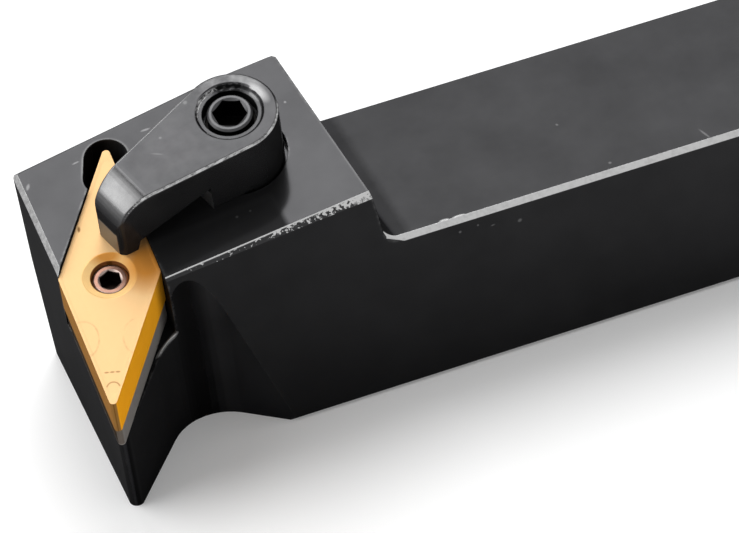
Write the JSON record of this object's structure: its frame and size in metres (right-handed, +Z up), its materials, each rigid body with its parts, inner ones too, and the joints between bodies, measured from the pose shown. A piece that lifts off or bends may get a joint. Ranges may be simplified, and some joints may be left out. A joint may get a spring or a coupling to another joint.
{
  "type": "external turning tool holder",
  "caption": "Right-hand external turning tool holder with a gold diamond insert seated on a shim and held by a lock pin and a finger clamp.",
  "frame": {"origin": "middle of the shank's bottom face, midway between the rear end and the foot of the head's back wall", "axes": "+X along the shank to its rear end, +Z up out of the shank's top face, and the cutting nose points towards -Y at the -X end"},
  "size_m": [0.1252, 0.03, 0.035],
  "materials": {
    "blackened_steel": "satin black oxide with bright worn edges",
    "grey_carbide": "ground",
    "gold_coated_carbide": "satin gold coating",
    "plain_steel": "bare turned steel",
    "clamp_steel": "satin black oxide, rubbed grey",
    "screw_steel": "satin"
  },
  "bodies": {
    "root": {"holder_body": "blackened_steel", "shim": "grey_carbide", "insert": "gold_coated_carbide", "lock_pin": "plain_steel", "top_clamp": "clamp_steel", "clamp_screw": "screw_steel"}
  },
  "joints": []
}
